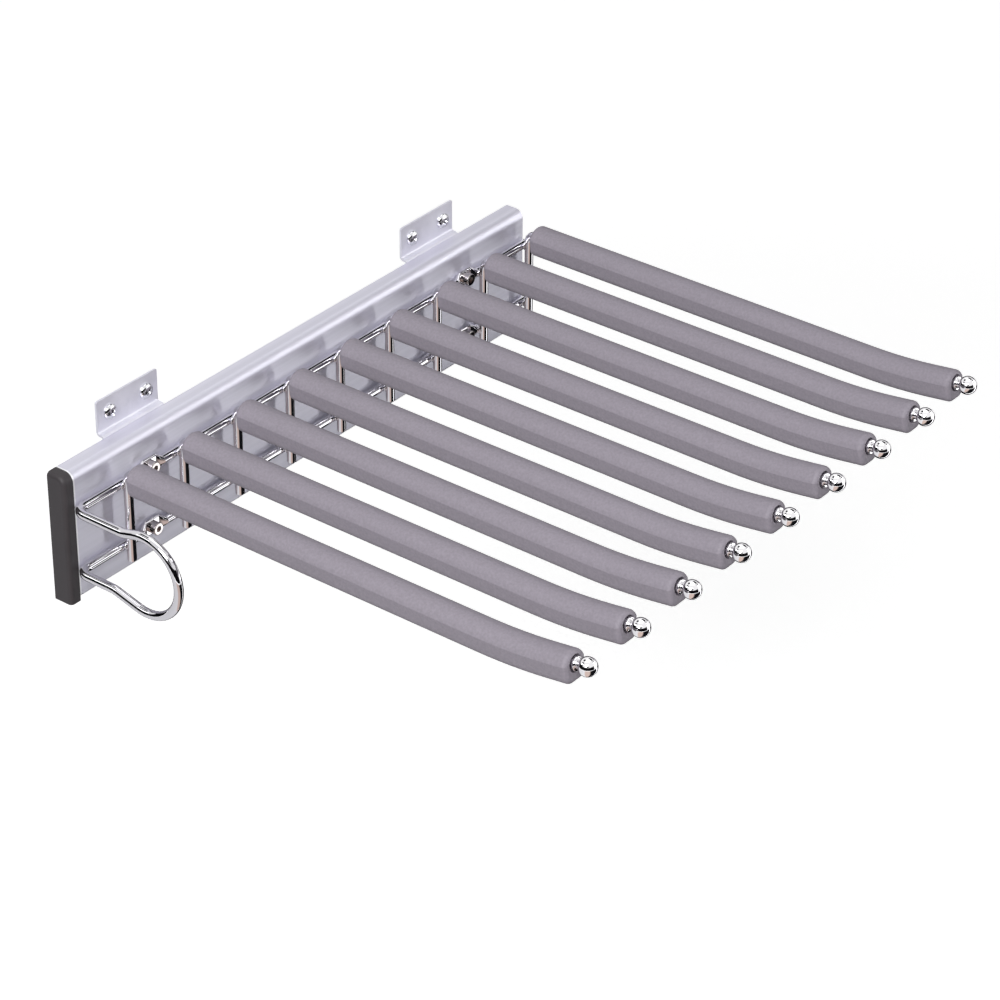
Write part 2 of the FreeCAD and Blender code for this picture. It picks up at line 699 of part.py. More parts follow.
def make_sleeve(number):
    """Plastic sleeve with a domed top, a crease on each side and rounded lower edges."""
    body = new_body(f"arm_sleeve_{number + 1}", size.sleeve_start_x,
                    size.cover_front_y + arm_offset(number), size.arm_z)
    bend, (end_x, end_z) = arm_end(size.sleeve_start_x, size.sleeve_over)
    spine = sketch_on(body, "XZ_Plane", "path")
    outline(spine, [(0, 0), bend, (end_x, end_z)], closed=False)
    section = sketch_on(body, "YZ_Plane", "section")
    draw_sleeve_section(section)
    circle(section, 0, 0, size.wire_r)
    tube = pipe(body, section, spine, "tube")
    inside = float(size.wire_r) + 1
    slope = math.radians(float(size.tip_slope))
    ends = ((V(0, 0, 0), V(1, 0, 0)),
            (V(float(end_x), 0, float(end_z)), V(math.cos(slope), 0, math.sin(slope))))

    def outer_end(edge, at):
        for centre, ahead in ends:
            spoke = at - centre
            if abs(spoke.dot(ahead)) < 0.01 and inside < spoke.Length < 2 * float(size.dome_r):
                return True
        return False

    round_edges(body, tube, size.sleeve_edge, "end_edges", outer_end)
    recess = sketch_on(body, "YZ_Plane", "recess", y=end_z, along=end_x, slope=size.tip_slope)
    circle(recess, 0, 0, size.recess_r)
    pocket(body, recess, "tip_recess", size.recess_depth)


def draw_sleeve_section(section):
    """Dome arc over two straight sides and an underside with rounded corners."""
    centre_z = size.dome_rise - size.dome_r
    crease_y = size.dome_r * cosine(size.dome_edge)
    crease_z = centre_z + size.dome_r * sine(size.dome_edge)
    half = size.sleeve_foot / 2
    outline(section, [(-crease_y, crease_z), (-half, -size.sleeve_drop, size.foot_round),
                      (half, -size.sleeve_drop, size.foot_round), (crease_y, crease_z)],
            closed=False)
    right, left = V(float(crease_y), float(crease_z), 0), V(-float(crease_y), float(crease_z), 0)
    curve, (first, last) = arc_between(right, left, V(0, float(centre_z), 0), True)
    dome = section.addGeometry(curve, False)
    constrain(section, "Coincident", dome, first, 2, 2)
    constrain(section, "Coincident", dome, last, 0, 1)
    constrain(section, "DistanceY", -1, 1, dome, 3, value=centre_z)


def make_tip(number):
    """Turned ball tip with a neck and a collar, screwed onto the rod's end."""
    seat_z = arm_end(0)[1][1]
    body = new_body(f"ball_tip_{number + 1}", size.rod_end_x,
                    size.cover_front_y + arm_offset(number), size.arm_z + seat_z, size.tip_slope)
    stem = sketch_on(body, "XZ_Plane", "stem")
    edge, middle = size.collar_edge, size.ball_ahead - size.ball_r / 2
    outline(stem, [
        (0, 0), (0, size.collar_r, edge), (size.collar_length, size.collar_r, edge),
        (size.collar_length, size.neck_r), (middle, size.neck_r), (middle, 0)])
    revolve(body, stem, "H_Axis", "stem_turned")
    half = sketch_on(body, "XZ_Plane", "half_ball", x=size.ball_ahead)
    radius = float(size.ball_r)
    curve, (first, last) = arc_between(V(radius, 0, 0), V(-radius, 0, 0), V(0, 0, 0), True)
    arc = half.addGeometry(curve, False)
    line = half.addGeometry(Part.LineSegment(V(-radius, 0, 0), V(radius, 0, 0)), False)
    constrain(half, "Coincident", arc, last, line, 1)
    constrain(half, "Coincident", arc, first, line, 2)
    constrain(half, "Coincident", arc, 3, -1, 1)
    constrain(half, "Horizontal", line)
    constrain(half, "Radius", arc, value=size.ball_r)
    revolve(body, half, "H_Axis", "ball_turned")
    bore = sketch_on(body, "YZ_Plane", "bore")
    circle(bore, 0, 0, size.spigot_r)
    pocket(body, bore, "threaded_bore", size.tip_bore, reverse=True)


# ---------------------------------------------------------------- bent sheet

def walk(start, heading, steps):
    """Follows straight steps (length,) and bends (radius, degrees), left bends positive."""
    path = []
    here = V(*start, 0)
    for step in steps:
        if len(step) == 1:
            ahead = V(math.cos(math.radians(heading)), math.sin(math.radians(heading)), 0)
            there = here + ahead * step[0]
            path.append((here, there, heading, heading, None, 0))
        else:
            radius, degrees = step
            turn = math.copysign(radius, degrees)
            centre = here + side_of(heading) * turn
            there = centre - side_of(heading + degrees) * turn
            path.append((here, there, heading, heading + degrees, centre, turn))
            heading += degrees
        here = there
    return path


def side_of(heading):
    """Unit vector to the left of a heading."""
    return V(-math.sin(math.radians(heading)), math.cos(math.radians(heading)), 0)


def draw_side(sketch, path, offset):
    """Draws a path moved to its left by an offset, and holds it in place."""
    for start, stop, before, after, centre, turn in path:
        first = start + side_of(before) * offset
        last = stop + side_of(after) * offset
        if centre is None:
            piece = Part.LineSegment(first, last)
        else:
            middle = centre - side_of((before + after) / 2) * (turn - offset)
            piece = Part.Arc(first, middle, last)
        constrain(sketch, "Block", sketch.addGeometry(piece, False))


def draw_sheet(sketch, start, heading, steps, thickness):
    """Section of a bent sheet whose middle follows the steps."""
    path = walk(start, heading, steps)
    half = float(thickness) / 2
    draw_side(sketch, path, half)
    draw_side(sketch, path, -half)
    ends = ((path[0][0], path[0][2]), (path[-1][1], path[-1][3]))
    for point, direction in ends:
        across = side_of(direction) * half
        piece = Part.LineSegment(point + across, point - across)
        constrain(sketch, "Block", sketch.addGeometry(piece, False))


def make_bracket(label, number):
    """Stepped sheet bracket: up the wall, out over the slide and down behind it."""
    body = new_body(label, y=number * size.bracket_spacing - size.bracket_width / 2)
    thick, wall_bend, step_bend = float(size.bracket_sheet), float(size.wall_bend), \
        float(size.step_bend)
    flange_z = float(cover_top_z + size.flange_rise) - thick / 2
    drop = float(size.bracket_top_z) - flange_z - wall_bend
    out = float(slide_back_x) - thick - wall_bend - step_bend
    foot = flange_z - step_bend - float(size.slide_z - size.bracket_foot)
    section = sketch_on(body, "XZ_Plane", "section")
    draw_sheet(section, (thick / 2, float(size.bracket_top_z)), -90,
               [(drop,), (wall_bend, 90), (out,), (step_bend, -90), (foot,)], thick)
    plate = pad(body, section, size.bracket_width, "plate", reverse=True)
    width, top = float(size.bracket_width), float(size.bracket_top_z)

    def upper_corner(edge, at):
        return (edge.Length < thick + 0.01 and abs(at.z - top) < 0.01
                and min(at.y, width - at.y) < 0.01)

    round_edges(body, plate, size.bracket_corner, "upper_corners", upper_corner)
    holes = sketch_on(body, "YZ_Plane", "holes")
    middle = size.bracket_width / 2
    for side in (-1, 1):
        circle(holes, middle + side * size.screw_spacing / 2, 0, size.screw_neck_r)
        circle(holes, middle + side * size.rivet_spacing / 2, size.slide_z, size.rivet_r)
    pocket(body, holes, "holes_cut")


# ---------------------------------------------------------------- ball-bearing slide

sheet_middle = float(size.member_sheet) / 2
fold = float(size.fold_r)
race_r = float(size.bearing_r + size.race_gap) + sheet_middle
outer_u = float(size.outer_ball_u)
outer_w = float(size.slide_height) / 2 - sheet_middle - race_r
inner_u = outer_u + 2 * race_r * math.cos(math.radians(45))
inner_w = outer_w - 2 * race_r * math.sin(math.radians(45))


def fold_angle(across):
    """Angle at which a fold that starts at the web runs into a ball race."""
    return math.degrees(math.acos(across / (race_r + fold)))


def outer_half():
    """Outer member: it wraps its balls from outside."""
    web = sheet_middle
    steps = [(outer_w,), (race_r, -90), (outer_u - web - race_r,), (race_r, -float(size.lip_wrap))]
    return web, steps


def middle_half():
    """Middle member: it passes between the two rows of balls as an S."""
    web = 3 * sheet_middle + float(size.member_gap)
    turn = fold_angle(web + fold - outer_u)
    rise = outer_w - (race_r + fold) * math.sin(math.radians(turn))
    steps = [(rise,), (fold, -turn), (race_r, turn - 45), (race_r, -float(size.middle_wrap))]
    return web, steps


def inner_half():
    """Inner member: its web is screwed to the cover and its edges wrap the inner balls."""
    web = float(size.slide_depth) - sheet_middle
    turn = fold_angle(web - fold - inner_u)
    rise = inner_w - (race_r + fold) * math.sin(math.radians(turn))
    steps = [(rise,), (fold, 180 - turn), (race_r, -float(size.inner_wrap))]
    return web, steps


def make_member(label, half, length):
    """A roll-formed member: its half section, from the web's middle, and the mirrored half."""
    body = new_body(label, slide_back_x, slide_start_y, size.slide_z)
    web, steps = half
    path = walk((web, 0), 90, steps)
    end, heading = path[-1][1], path[-1][3]
    section = sketch_on(body, "XZ_Plane", "section")
    whole = steps[::-1] + steps
    draw_sheet(section, (end.x, -end.y), 180 - heading, whole, size.member_sheet)
    pad(body, section, length, "channel", reverse=True)
    return body


def add_tab(body, name, near, far, height, rear, thickness):
    """A tab bent across a member's rear end; rear is its rear face's place along Y."""
    sketch = sketch_on(body, "XZ_Plane", f"{name}_outline", along=-rear)
    half, soft = height / 2, size.tab_round
    outline(sketch, [(near, half, soft), (far, half, soft), (far, -half, soft),
                     (near, -half, soft)])
    pad(body, sketch, thickness, name)


def make_slide_members():
    outer = make_member("slide_outer_member", outer_half(), size.slide_length)
    add_tab(outer, "stop_tab", 0, size.stop_reach, size.stop_height, size.slide_length,
            size.member_sheet)
    holes = sketch_on(outer, "YZ_Plane", "rivet_holes", x=-slide_start_y)
    for along in bracket_places(size.rivet_spacing):
        circle(holes, along, 0, size.rivet_r)
    pocket(outer, holes, "rivet_holes_cut", size.member_sheet, reverse=True)

    make_member("slide_middle_member", middle_half(), inner_length)

    inner = make_member("slide_inner_member", inner_half(), inner_length)
    add_tab(inner, "rear_tab", 2 * size.member_sheet + 2 * size.member_gap, size.slide_depth,
            size.tab_height, inner_length, size.member_sheet)
    holes = sketch_on(inner, "YZ_Plane", "screw_holes")
    for along in slide_screw_offsets():
        circle(holes, along, 0, size.slide_screw_r)
    pocket(inner, holes, "screw_holes_cut", size.slide_depth, reverse=True)


def make_bumper():
    """Rubber pad on the outer member's stop tab, met by the inner member's rear tab."""
    body = new_body("rear_bumper", slide_back_x,
                    slide_start_y + size.slide_length - size.member_sheet, size.slide_z)
    sketch = sketch_on(body, "XZ_Plane", "outline")
    half = size.tab_height / 2 - size.bumper_inset
    near = 2 * size.member_sheet + size.member_gap
    far, soft = size.stop_reach - size.bumper_inset / 2, size.tab_round
    outline(sketch, [(near, half, soft), (far, half, soft), (far, -half, soft),
                     (near, -half, soft)])
    pad(body, sketch, size.bumper_thick, "pad")


def ball_offsets():
    count = int(size.balls_per_row)
    return [size.cage_length * (index + 0.5) / count for index in range(count)]


def make_cage(label, near, far, ball_u, level):
    """A thin strip with a pocket for each ball; an outer cage's pockets are open at its edge."""
    body = new_body(label, slide_back_x, cage_start_y, size.slide_z)
    strip = sketch_on(body, "XY_Plane", "strip", along=level - float(size.cage_thick) / 2)
    long, soft = size.cage_length, size.cage_edge
    outline(strip, [(near, 0, soft), (far, 0, soft), (far, long, soft), (near, long, soft)])
    pad(body, strip, size.cage_thick, "strip_rolled")
    pockets = sketch_on(body, "XY_Plane", "pockets", along=level)
    for along in ball_offsets():
        circle(pockets, ball_u, along, size.bearing_r + size.cage_play)
    pocket(body, pockets, "ball_pockets")


cage_start_y = slide_start_y + size.travel / 4 + size.cage_margin


def make_cages_and_balls():
    outer_near = 1.0 * size.member_sheet + 2 * size.race_gap
    outer_far = outer_u + float(size.bearing_r)
    rim = float(size.bearing_r + size.cage_play + size.cage_wall)
    for side, sign in (("upper", 1), ("lower", -1)):
        make_cage(f"outer_cage_{side}", outer_near, outer_far, outer_u, sign * outer_w)
        make_cage(f"inner_cage_{side}", inner_u - rim, inner_u + rim, inner_u, sign * inner_w)
    ball = doc.addObject("Part::Sphere", "bearing_ball")
    bind(ball, "Radius", size.bearing_r)
    for label, ball_u, level in (("outer_balls", outer_u, outer_w),
                                 ("inner_balls", inner_u, inner_w)):
        places = []
        for sign in (1, -1):
            for along in ball_offsets():
                places.append((slide_back_x + ball_u, cage_start_y + along,
                               size.slide_z + sign * level))
        group(label, ball, places)


# ---------------------------------------------------------------- fasteners

def turned(label, points):
    """A master piece turned about the X axis from its half section (x, radius)."""
    body = new_body(label)
    half = sketch_on(body, "XZ_Plane", "half")
    outline(half, points)
    revolve(body, half, "H_Axis", "turning")
    return body


def make_wall_screws():
    """Pan-head wood screws with a cross recess; one pair holds each bracket."""
    high, head, shank, neck = size.pan_height, size.pan_r, size.wall_screw_r, size.screw_neck_r
    under = -size.bracket_sheet - size.neck_behind
    end = -size.bracket_sheet - size.wall_screw_length
    body = turned("wall_screw_master", [
        (high, 0), (high, head * 0.6, 1.2), (high * 0.45, head, 0.8), (0, head), (0, neck),
        (under, neck), (under, shank), (end + size.screw_point, shank), (end, 0)])
    recess = sketch_on(body, "YZ_Plane", "cross", along=high)
    a, b = size.cross_width / 2, size.cross_length / 2
    outline(recess, [(a, a), (a, b), (-a, b), (-a, a), (-b, a), (-b, -a), (-a, -a), (-a, -b),
                     (a, -b), (a, -a), (b, -a), (b, a)])
    pocket(body, recess, "cross_recess", size.cross_depth)
    group("wall_screws", body, [(size.bracket_sheet, along, 0)
                                for along in bracket_places(size.screw_spacing)])


def make_frame_screws():
    """Socket-head cap screws through the wire's eyes into the cover's ribs."""
    high, head, shank = size.cap_head_height, size.cap_head_r, size.frame_screw_r
    end = -size.eye_thick - size.cover_wall - size.rib_depth
    body = turned("frame_screw_master", [
        (high, 0), (high, head, size.head_edge), (0, head), (0, shank), (end, shank), (end, 0)])
    socket = sketch_on(body, "YZ_Plane", "hex", along=high)
    flat = size.hex_width / 2
    side = size.hex_width / math.sqrt(3)
    outline(socket, [(flat, side / 2), (0 * flat, side), (-flat, side / 2),
                     (-flat, -side / 2), (0 * flat, -side), (flat, -side / 2)])
    pocket(body, socket, "hex_socket", size.hex_depth)
    places = []
    for along in frame_screw_offsets():
        for level in (size.upper_wire_z, size.lower_wire_z):
            places.append((face_x + size.eye_thick, size.cover_front_y + along, level))
    group("frame_screws", body, places)


def make_slide_screws():
    """Low-head screws from inside the slide into the cover's middle rib."""
    high, head, shank = size.slide_head_height, size.slide_head_r, size.slide_screw_r
    end = size.member_sheet + size.slide_bite
    body = turned("slide_screw_master", [
        (-high, 0), (-high, head * 0.6, 0.8), (-high * 0.4, head, 0.6), (0, head), (0, shank),
        (end, shank), (end, 0)])
    seat_x = slide_back_x + size.slide_depth - size.member_sheet
    group("slide_screws", body, [(seat_x, slide_start_y + along, size.slide_z)
                                 for along in slide_screw_offsets()])


def make_rivets():
    """Rivets that hold the slide's outer member to the brackets."""
    high, head, shank = size.rivet_head, size.rivet_head_r, size.rivet_r
    end = size.bracket_sheet + size.member_sheet
    body = turned("rivet_master", [
        (-high, 0), (-high, head * 0.7, 0.6), (-high * 0.3, head), (0, head), (0, shank),
        (end, shank), (end, 0)])
    seat_x = slide_back_x - size.bracket_sheet
    group("bracket_rivets", body, [(seat_x, along, size.slide_z)
                                   for along in bracket_places(size.rivet_spacing)])


# ---------------------------------------------------------------- the whole rack

make_cover()
make_end_cap()
make_frame_wire()
for arm in range(int(size.arm_count)):
    make_rod(arm)
    make_sleeve(arm)
    make_tip(arm)
make_bracket("front_bracket", 0)
make_bracket("rear_bracket", 1)
make_slide_members()
make_bumper()
make_cages_and_balls()
make_wall_screws()
make_frame_screws()
make_slide_screws()
make_rivets()

doc.recompute()
for item in doc.Objects:
    if "Invalid" in item.State or "Error" in item.State:
        raise RuntimeError(f"{item.Label} failed: {item.State}")
    if item.TypeId == "Sketcher::SketchObject" and item.solve() != 0:
        raise RuntimeError(f"{item.Label} can't be solved")

os.makedirs("parts", exist_ok=True)
for item in doc.Objects:
    if item.TypeId not in ("PartDesign::Body", "Part::Compound") or "master" in item.Label:
        continue
    if item.Shape.isNull() or not item.Shape.isValid():
        raise RuntimeError(f"{item.Label} has no valid shape")
    item.Shape.exportStep(f"parts/{item.Label}.step")
    print(item.Label, len(item.Shape.Solids), round(item.Shape.Volume, 1))
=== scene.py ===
import math

import bmesh
import bpy
from mathutils import Matrix, Vector


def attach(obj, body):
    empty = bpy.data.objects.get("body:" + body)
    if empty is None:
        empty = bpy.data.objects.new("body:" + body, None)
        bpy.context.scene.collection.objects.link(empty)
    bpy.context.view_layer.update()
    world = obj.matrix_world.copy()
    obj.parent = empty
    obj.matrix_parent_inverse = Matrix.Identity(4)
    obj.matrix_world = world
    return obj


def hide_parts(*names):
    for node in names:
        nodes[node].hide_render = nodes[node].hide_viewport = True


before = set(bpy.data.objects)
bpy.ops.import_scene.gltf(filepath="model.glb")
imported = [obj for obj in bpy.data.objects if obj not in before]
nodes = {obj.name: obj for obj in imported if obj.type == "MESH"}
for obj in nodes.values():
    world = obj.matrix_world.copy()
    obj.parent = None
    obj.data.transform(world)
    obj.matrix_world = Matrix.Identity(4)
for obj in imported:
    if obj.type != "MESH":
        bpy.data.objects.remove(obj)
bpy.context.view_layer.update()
bpy.ops.object.select_all(action="DESELECT")


# Camera: a long lens in front of the handle and above the ball tips, so that the cover, the
# loop and all nine arms are seen from the side that a person pulls them out by.

VIEW_AZIMUTH, VIEW_ELEVATION = math.radians(37.78), math.radians(31.88)
VIEW_DISTANCE, VIEW_ROLL = 2.2462, math.radians(0.45)
SENSOR_WIDTH, LENS_OVER_SENSOR = 36.0, 3.563
aim = Vector((0.1714, 0.155, -0.081))
away = Vector((math.sin(VIEW_AZIMUTH) * math.cos(VIEW_ELEVATION),
               -math.cos(VIEW_AZIMUTH) * math.cos(VIEW_ELEVATION), math.sin(VIEW_ELEVATION)))
bpy.ops.object.camera_add(location=aim + away * VIEW_DISTANCE)
viewer = bpy.context.object
viewer.name = "viewer"
viewer.rotation_euler = away.to_track_quat("Z", "Y").to_euler()
viewer.rotation_euler.rotate_axis("Z", VIEW_ROLL)
viewer.data.sensor_width = SENSOR_WIDTH
viewer.data.lens = SENSOR_WIDTH * LENS_OVER_SENSOR
viewer.data.clip_end = 60.0
bpy.context.scene.camera = viewer
bpy.context.scene.view_settings.view_transform = "Standard"


# Studio: a pale floor far below the rack, as below a wardrobe's rail, and soft boxes above.
# The finishes of all surfaces are written with the two small classes here.

class Wire:
    """An output of a shader node; sums and products of it add Math nodes."""

    def __init__(self, finish, socket):
        self.finish = finish
        self.socket = socket

    def _math(self, operation, first, second):
        return self.finish.node("ShaderNodeMath", {"operation": operation}, {0: first, 1: second})

    def __add__(self, other):
        return self._math("ADD", self, other)

    def __radd__(self, other):
        return self._math("ADD", other, self)

    def __mul__(self, other):
        return self._math("MULTIPLY", self, other)

    def __rmul__(self, other):
        return self._math("MULTIPLY", other, self)


class Finish:
    """A material under construction: its nodes are added one by one."""

    def __init__(self, name, tree=None):
        if tree is None:
            self.material = bpy.data.materials.new(name)
            self.material.use_nodes = True
            tree = self.material.node_tree
        self.tree = tree
        self.tree.nodes.clear()

    def node(self, kind, settings=None, sockets=None, output=0):
        """Adds a node, its settings first and then its sockets' values or links."""
        made = self.tree.nodes.new(kind)
        for name, value in (settings or {}).items():
            if name == "stops":
                ramp = made.color_ramp.elements
                while len(ramp) < len(value):
                    ramp.new(0.5)
                for stop, (place, colour) in zip(ramp, value):
                    stop.position = place
                    stop.color = (*colour, 1)
            else:
                setattr(made, name, value)
        for name, value in (sockets or {}).items():
            if isinstance(value, Wire):
                self.tree.links.new(value.socket, made.inputs[name])
            else:
                made.inputs[name].default_value = value
        return Wire(self, made.outputs[output]) if made.outputs else made

    def place(self):
        """The point of the surface, in the piece's own coordinates."""
        return self.node("ShaderNodeTexCoord", output="Object")

    def noise(self, scale, detail, stretch=(1, 1, 1)):
        """Noise through the piece; a stretch with unequal numbers draws it out to lines."""
        spot = self.node("ShaderNodeMapping", {}, {"Vector": self.place(), "Scale": stretch})
        return self.node("ShaderNodeTexNoise", {},
                         {"Vector": spot, "Scale": scale, "Detail": detail})

    def blend(self, share, first, second):
        """A colour between two others."""
        return self.node("ShaderNodeMix", {"data_type": "RGBA"},
                         {"Factor": share, "A": first, "B": second}, output="Result")

    def bump(self, height, strength, distance):
        """Normals of a fine relief."""
        return self.node("ShaderNodeBump", {}, {"Height": height, "Strength": strength,
                                                "Distance": distance})

    def grey(self, level):
        """A grey of a varying level."""
        return self.node("ShaderNodeCombineColor", {}, {"Red": level, "Green": level,
                                                        "Blue": level})

    def path_share(self):
        """1 where the eye, a mirror or glass looks straight at the surface, else 0."""
        camera = self.node("ShaderNodeLightPath", output="Is Camera Ray")
        glossy = self.node("ShaderNodeLightPath", output="Is Glossy Ray")
        through = self.node("ShaderNodeLightPath", output="Is Transmission Ray")
        return camera + glossy + through

    def surface(self, **sockets):
        """The Principled shader and the output; returns the finished material."""
        shader = self.node("ShaderNodeBsdfPrincipled", {},
                           {name.replace("_", " "): value for name, value in sockets.items()})
        self.node("ShaderNodeOutputMaterial", {}, {"Surface": shader})
        return self.material


FLOOR_Z, FLOOR_R = -0.72, 14
NEAR_R, FAR_R = 1.5, 5.0  # the floor glows more between these, where the soft boxes reach less
bpy.ops.mesh.primitive_circle_add(vertices=96, radius=FLOOR_R, fill_type="NGON",
                                  location=(0.2, 0.2, FLOOR_Z))
floor = bpy.context.object
floor.name = "floor"
pale = Finish("pale_floor")
seen = pale.path_share()
distance = pale.node("ShaderNodeVectorMath", {"operation": "LENGTH"}, {0: pale.place()},
                     output="Value")
lift = pale.node("ShaderNodeMapRange", {}, {"Value": distance, "From Min": NEAR_R,
                                            "From Max": FAR_R, "To Min": 0.44, "To Max": 0.78})
floor.data.materials.append(pale.surface(
    Base_Color=pale.grey(0.32 + 0.61 * seen), Emission_Color=pale.grey(lift * seen),
    Emission_Strength=1.0, Roughness=0.95, Specular_IOR_Level=0.0))

world = bpy.data.worlds.new("studio")
bpy.context.scene.world = world
world.use_nodes = True
air = Finish("studio", world.node_tree)
sky = air.node("ShaderNodeBackground", {}, {"Color": (1, 1, 1, 1),
                                            "Strength": 0.3 + 0.7 * air.path_share()})
air.node("ShaderNodeOutputWorld", {}, {"Surface": sky})

# Soft boxes, each (name, place, width, height, watts), that face the middle of the rack.
RACK_MIDDLE = Vector((0.2, 0.15, -0.05))
for name, place, width, height, watts in (
        ("overhead_box", (-0.2, 0.9, 4.2), 3.6, 3.6, 29),
        ("front_box", (1.42, -2.3, 1.99), 1.8, 1.5, 110)):
    bpy.ops.object.light_add(type="AREA", location=place)
    lamp = bpy.context.object
    lamp.name = name
    lamp.rotation_euler = (Vector(place) - RACK_MIDDLE).to_track_quat("Z", "Y").to_euler()
    lamp.data.shape = "RECTANGLE"
    lamp.data.size = width
    lamp.data.size_y = height
    lamp.data.energy = watts


def for_mirrors_alone(shield):
    """Hides a stage piece from the eye and from matt surfaces, and lets all light through it."""
    shield.visible_camera = False
    shield.visible_diffuse = False
    shield.visible_shadow = False


# A dark curtain round the studio gives chrome its dark lines. It is open on the side that the
# cover's rounded top edge mirrors, between two azimuths in degrees.
CURTAIN_R, CURTAIN_HEIGHT, CURTAIN_MIDDLE_Z = 3.4, 1.9, 0.22
OPEN_FROM, OPEN_TO = 15, 85
MATT_BLACK = (0.01, 0.01, 0.012, 1)
bpy.ops.mesh.primitive_cylinder_add(vertices=96, radius=CURTAIN_R, depth=CURTAIN_HEIGHT,
                                    end_fill_type="NOTHING",
                                    location=(0.2, 0.2, CURTAIN_MIDDLE_Z))
curtain = bpy.context.object
curtain.name = "curtain"
bpy.ops.object.mode_set(mode="EDIT")
walls = bmesh.from_edit_mesh(curtain.data)
for wall in walls.faces:
    middle = wall.calc_center_median()
    wall.select_set(OPEN_FROM < math.degrees(math.atan2(middle.y, middle.x)) < OPEN_TO)
bmesh.update_edit_mesh(curtain.data)
bpy.ops.mesh.delete(type="FACE")
bpy.ops.object.mode_set(mode="OBJECT")
curtain.data.materials.append(Finish("curtain").surface(
    Base_Color=MATT_BLACK, Roughness=1.0, Specular_IOR_Level=0.0))
for_mirrors_alone(curtain)

# A disc of cards just over the floor: white, tan and black sectors, and one narrow white one,
# counted in turns from the side away from the eye.
CARDS_R, CARDS_TURN = 2.6, math.radians(52.2)
BLACK, TAN, WHITE = (0.002, 0.002, 0.0025), (0.22, 0.17, 0.15), (1.0, 1.0, 1.0)
bpy.ops.mesh.primitive_circle_add(vertices=96, radius=CARDS_R, fill_type="NGON",
                                  location=(0.2, 0.15, FLOOR_Z + 0.01))
cards = bpy.context.object
cards.name = "cards"
fan = Finish("cards")
turned = fan.node("ShaderNodeMapping", {"vector_type": "POINT"},
                  {"Vector": fan.place(), "Rotation": (0, 0, CARDS_TURN)})
sweep = fan.node("ShaderNodeTexGradient", {"gradient_type": "RADIAL"}, {"Vector": turned})
sectors = fan.node("ShaderNodeValToRGB", {"stops": [
    (0.00, BLACK), (0.14, BLACK), (0.16, (0.23, 0.23, 0.235)), (0.42, (0.27, 0.27, 0.275)),
    (0.45, TAN), (0.55, (0.22, 0.175, 0.155)), (0.58, BLACK), (0.765, BLACK),
    (0.775, WHITE), (0.79, WHITE), (0.80, BLACK), (1.00, BLACK)]}, {"Fac": sweep})
cards.data.materials.append(fan.surface(
    Base_Color=(0, 0, 0, 1), Emission_Color=sectors, Emission_Strength=3.3, Roughness=1.0,
    Specular_IOR_Level=0.0))
for_mirrors_alone(cards)

# Flags and strip lights, each (name, direction, way of its long side, width, length, distance,
# glow): they draw the black and the white lines along wires, balls and the cover's edge.
for name, direction, long_way, width, length, reach, glow in (
        ("flag_above", (0.0, 0.67, 0.742), (0, 1, 0), 1.6, 1.2, 2.9, 0.0),
        ("flag_wall", (-0.52, 0.0, 0.854), (1, 0, 0), 1.1, 1.1, 2.9, 0.0),
        ("flag_eye", tuple(away), (0, 0, 1), 1.2, 0.9, 2.9, 0.0),
        ("flag_far", (0.515, 0.671, 0.533), (0, 1, 0), 1.0, 1.3, 2.9, 0.0),
        ("flag_near", (-0.52, -0.66, 0.54), (1, 0, 0), 2.1, 1.3, 2.9, 0.0),
        ("strip_far", (0.54, 0.67, 0.51), (0, 1, 0), 0.3, 1.3, 2.7, 4.0),
        ("strip_low", (0.73, 0.67, 0.13), (0, 1, 0), 1.7, 1.6, 2.9, 2.2),
        ("strip_near", (-0.52, -0.64, 0.56), (1, 0, 0), 0.5, 1.3, 2.7, 3.2)):
    outward = Vector(direction).normalized()
    lengthwise = (Vector(long_way) - outward * outward.dot(Vector(long_way))).normalized()
    turn = Matrix((lengthwise.cross(outward), lengthwise, outward)).transposed()
    bpy.ops.mesh.primitive_plane_add(size=1.0, location=aim + outward * reach,
                                     rotation=turn.to_euler())
    flag = bpy.context.object
    flag.name = name
    flag.scale = (width, length, 1.0)
    flag.data.materials.append(Finish(name).surface(
        Base_Color=MATT_BLACK, Emission_Color=(1, 1, 1, 1), Emission_Strength=glow,
        Roughness=1.0, Specular_IOR_Level=0.0))
    for_mirrors_alone(flag)
bpy.ops.object.select_all(action="DESELECT")


def dress(material, *names):
    """Gives a finish to CAD nodes."""
    for name in names:
        piece = nodes[name]
        piece.data.materials.clear()
        piece.data.materials.append(material)


# Rail cover: a drawn aluminium extrusion, satin anodised, screwed over the slide. Fine die lines
# run along its length. A near-white band at its front end, beside the cap, is a painted highlight
# standing in for the bright line at the cut edge.

EDGE_HIGHLIGHT_FROM, EDGE_HIGHLIGHT_TO = -0.0682, -0.0690
cover = Finish("anodised_aluminium")
lines = cover.noise(1.0, 3.0, (650.0, 2.2, 650.0))
bands = cover.noise(1.0, 2.0, (160.0, 1.1, 160.0))
streaks = cover.node("ShaderNodeMapRange", {}, {"Value": 0.7 * bands + 0.3 * lines,
                                                "From Min": 0.36, "From Max": 0.64})
drawn = cover.blend(streaks, (0.65, 0.64, 0.73, 1), (0.735, 0.725, 0.815, 1))
along = cover.node("ShaderNodeSeparateXYZ", {}, {"Vector": cover.place()}, output="Y")
# Painted highlight: the cover's colour turns near-white over its last 0.8 mm at the front end.
painted_edge_highlight = cover.node("ShaderNodeMapRange", {"interpolation_type": "SMOOTHSTEP"},
                 {"Value": along, "From Min": EDGE_HIGHLIGHT_FROM, "From Max": EDGE_HIGHLIGHT_TO, "To Min": 0.0,
                  "To Max": 1.0})
dress(cover.surface(Base_Color=cover.blend(painted_edge_highlight, drawn, (0.93, 0.93, 0.96, 1)), Metallic=0.68,
                    Roughness=0.34 + 0.16 * lines, Normal=cover.bump(lines, 0.12, 0.0002)),
      "rail_cover")

# End cap: injection-moulded charcoal plastic with a fine spark-eroded grain, plugged into the
# cover's front end.

